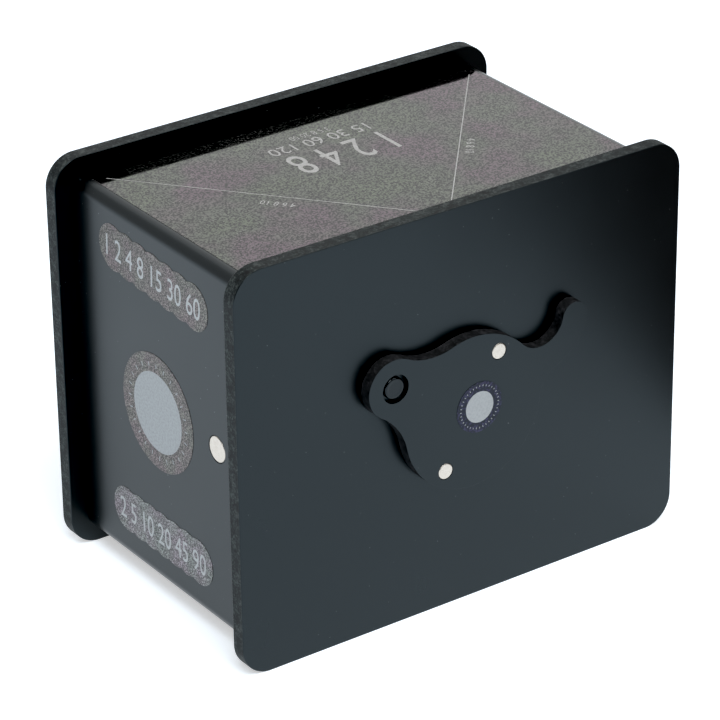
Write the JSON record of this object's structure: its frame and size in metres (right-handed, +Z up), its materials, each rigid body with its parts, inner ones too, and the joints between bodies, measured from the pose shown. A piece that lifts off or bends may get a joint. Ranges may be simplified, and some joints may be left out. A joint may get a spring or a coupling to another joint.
{
  "type": "pinhole camera",
  "caption": "Box pinhole camera of black foamed plastic sheet: two halves that slide apart to load a sheet of film, and a swinging magnetic shutter blade over the pinhole.",
  "frame": {"origin": "middle of the camera's footprint at ground level, on the lower edges of the two plates", "axes": "+Z up; +X to the right seen from the front, along the plates' width; the front with the shutter faces -Y and the film lies at the +Y end"},
  "size_m": [0.156, 0.1024, 0.127],
  "materials": {
    "foam_sheet": "satin black foamed plastic sheet with rougher cut edges",
    "magnet": "bright nickel plating",
    "film": "matt film emulsion",
    "label_film": "clear film label with a fine grey speckle and pale print",
    "pinhole_metal": "thin rolled sheet",
    "pivot_plastic": "satin black moulded plastic",
    "nut_steel": "spring steel push nut",
    "washer_plastic": "slippery natural plastic"
  },
  "bodies": {
    "rear_half": {"rear_plate": "foam_sheet", "outer_top_panel": "foam_sheet", "outer_bottom_panel": "foam_sheet", "outer_left_panel": "foam_sheet", "outer_right_panel": "foam_sheet", "left_wall_magnet": "magnet", "right_wall_magnet": "magnet", "film_sheet": "film", "top_label": "label_film", "upper_side_label": "label_film", "round_side_label": "label_film", "lower_side_label": "label_film"},
    "front_half": {"front_plate": "foam_sheet", "sleeve_top_panel": "foam_sheet", "sleeve_bottom_panel": "foam_sheet", "sleeve_left_panel": "foam_sheet", "sleeve_right_panel": "foam_sheet", "left_sleeve_magnet": "magnet", "right_sleeve_magnet": "magnet", "pinhole_foil": "pinhole_metal", "pinhole_ring": "foam_sheet", "upper_plate_magnet": "magnet", "lower_plate_magnet": "magnet", "pivot_post": "pivot_plastic", "pivot_retainer": "nut_steel", "slip_washer": "washer_plastic"},
    "shutter": {"shutter_blade": "foam_sheet", "upper_shutter_magnet": "magnet", "lower_shutter_magnet": "magnet", "shutter_label": "label_film"}
  },
  "joints": [
    {"name": "front_half_slide", "type": "slide", "parent": "rear_half", "child": "front_half", "axis": [0, -1, 0], "range_m": [0, 0.1]},
    {"name": "shutter_swing", "type": "hinge", "parent": "front_half", "child": "shutter", "pos_m": [-0.02737, -0.0491, 0.0793], "axis": [0, 1, 0], "range_deg": [-63, 63]}
  ]
}
